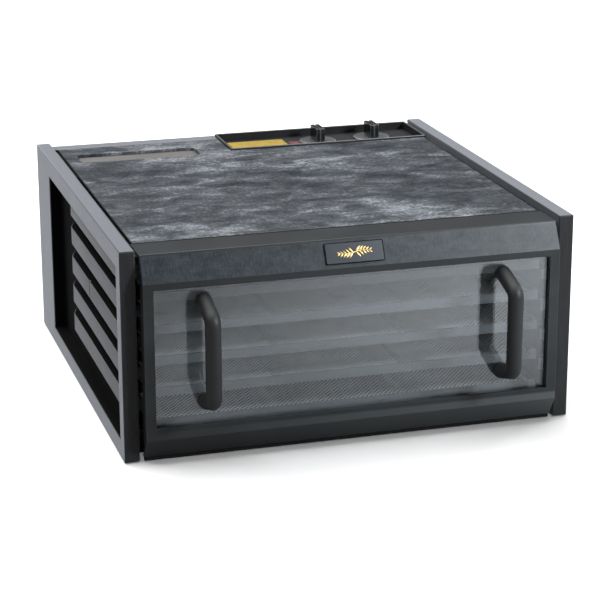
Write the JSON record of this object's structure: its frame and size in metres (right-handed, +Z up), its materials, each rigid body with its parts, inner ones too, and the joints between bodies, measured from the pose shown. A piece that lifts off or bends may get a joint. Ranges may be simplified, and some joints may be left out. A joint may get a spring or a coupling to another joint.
{
  "type": "food dehydrator",
  "caption": "Box-shaped food dehydrator: ribbed side frames, slate-look top, lift-off door with a smoky window and bar handles, sliding mesh trays, control knobs and a rear fan.",
  "frame": {"origin": "middle of the footprint, on the surface the feet stand on", "axes": "+X to the right seen from the door, +Y towards the back panel, +Z up"},
  "size_m": [0.432, 0.48, 0.2071],
  "materials": {
    "charcoal_frame": "satin moulded charcoal plastic, slightly brighter on rounded edges",
    "inner_wall": "fine matt moulded plastic",
    "door_plastic": "satin-gloss grey-black plastic with a leather-grained upper slope",
    "slate_laminate": "marbled slate-look laminate, dark grey with cloudy streaks",
    "smoky_window": "clear polycarbonate with a slight smoky tint",
    "handle_black": "matt black moulded bar",
    "tray_plastic": "matt grey food-safe plastic",
    "screen_plastic": "fine flexible plastic mesh",
    "badge_black": "glossy black plate with a plain gold ornament",
    "dial_label": "printed yellow and orange bands, no lettering",
    "dial_grey": "glossy grey disc",
    "knob_black": "glossy black grip bar with pale stripes",
    "control_black": "satin black moulded tray",
    "bright_steel": "zinc-plated steel",
    "copper_winding": "enamelled copper wire",
    "bearing_bronze": "sintered bronze",
    "fan_aluminium": "pressed aluminium",
    "heater_steel": "heat-tinted sheathed element",
    "foot_rubber": "black rubber",
    "switch_plastic": "cream thermoset switch body"
  },
  "bodies": {
    "cabinet": {"cabinet_floor": "inner_wall", "cabinet_roof": "inner_wall", "left_wall": "inner_wall", "right_wall": "inner_wall", "top_laminate": "slate_laminate", "left_side_frame": "charcoal_frame", "right_side_frame": "charcoal_frame", "back_panel": "charcoal_frame", "cord_gland": "foot_rubber", "foot_front_left": "foot_rubber", "foot_front_right": "foot_rubber", "foot_back_left": "foot_rubber", "foot_back_right": "foot_rubber", "control_tray": "control_black", "dial_label": "dial_label", "timer_body": "switch_plastic", "thermostat_body": "switch_plastic", "fan_guard": "inner_wall", "heating_element": "heater_steel", "heater_shroud": "bright_steel", "motor_bracket": "bright_steel", "motor_stator": "bright_steel", "motor_coil": "copper_winding", "rear_bearing_strap": "bright_steel", "front_bearing": "bearing_bronze", "rear_bearing": "bearing_bronze", "bracket_screw_1": "bright_steel", "bracket_screw_2": "bright_steel", "bracket_screw_3": "bright_steel", "bracket_screw_4": "bright_steel"},
    "door": {"door_frame": "door_plastic", "door_window": "smoky_window", "badge_plate": "badge_black", "left_handle": "handle_black", "right_handle": "handle_black", "left_handle_upper_screw": "bright_steel", "left_handle_lower_screw": "bright_steel", "right_handle_upper_screw": "bright_steel", "right_handle_lower_screw": "bright_steel"},
    "tray_1": {"tray_1": "tray_plastic", "screen_1": "screen_plastic"},
    "tray_2": {"tray_2": "tray_plastic", "screen_2": "screen_plastic"},
    "tray_3": {"tray_3": "tray_plastic", "screen_3": "screen_plastic"},
    "tray_4": {"tray_4": "tray_plastic", "screen_4": "screen_plastic"},
    "tray_5": {"tray_5": "tray_plastic", "screen_5": "screen_plastic"},
    "timer": {"timer_dial": "dial_grey", "timer_knob": "knob_black", "timer_shaft": "bright_steel"},
    "thermostat": {"thermostat_dial": "dial_grey", "thermostat_knob": "knob_black", "thermostat_shaft": "bright_steel"},
    "fan": {"fan_blade": "fan_aluminium", "fan_shaft": "bright_steel", "motor_rotor": "bright_steel", "fan_nut": "bright_steel"}
  },
  "joints": [
    {"name": "door_lift", "type": "slide", "parent": "cabinet", "child": "door", "axis": [0, 0, 1], "range_m": [0, 0.225]},
    {"name": "tray_1_slide", "type": "slide", "parent": "cabinet", "child": "tray_1", "axis": [0, -1, 0], "range_m": [0, 0.012]},
    {"name": "tray_2_slide", "type": "slide", "parent": "cabinet", "child": "tray_2", "axis": [0, -1, 0], "range_m": [0, 0.012]},
    {"name": "tray_3_slide", "type": "slide", "parent": "cabinet", "child": "tray_3", "axis": [0, -1, 0], "range_m": [0, 0.012]},
    {"name": "tray_4_slide", "type": "slide", "parent": "cabinet", "child": "tray_4", "axis": [0, -1, 0], "range_m": [0, 0.012]},
    {"name": "tray_5_slide", "type": "slide", "parent": "cabinet", "child": "tray_5", "axis": [0, -1, 0], "range_m": [0, 0.012]},
    {"name": "timer_turn", "type": "hinge", "parent": "cabinet", "child": "timer", "pos_m": [0.086, 0.203, 0.19], "axis": [0, 0, 1], "range_deg": [-315, 0]},
    {"name": "thermostat_turn", "type": "hinge", "parent": "cabinet", "child": "thermostat", "pos_m": [0.148, 0.205, 0.19], "axis": [0, 0, 1], "range_deg": [-270, 0]},
    {"name": "fan_spin", "type": "hinge", "parent": "cabinet", "child": "fan", "pos_m": [0, 0.201, 0.097], "axis": [0, 1, 0], "continuous": true}
  ]
}
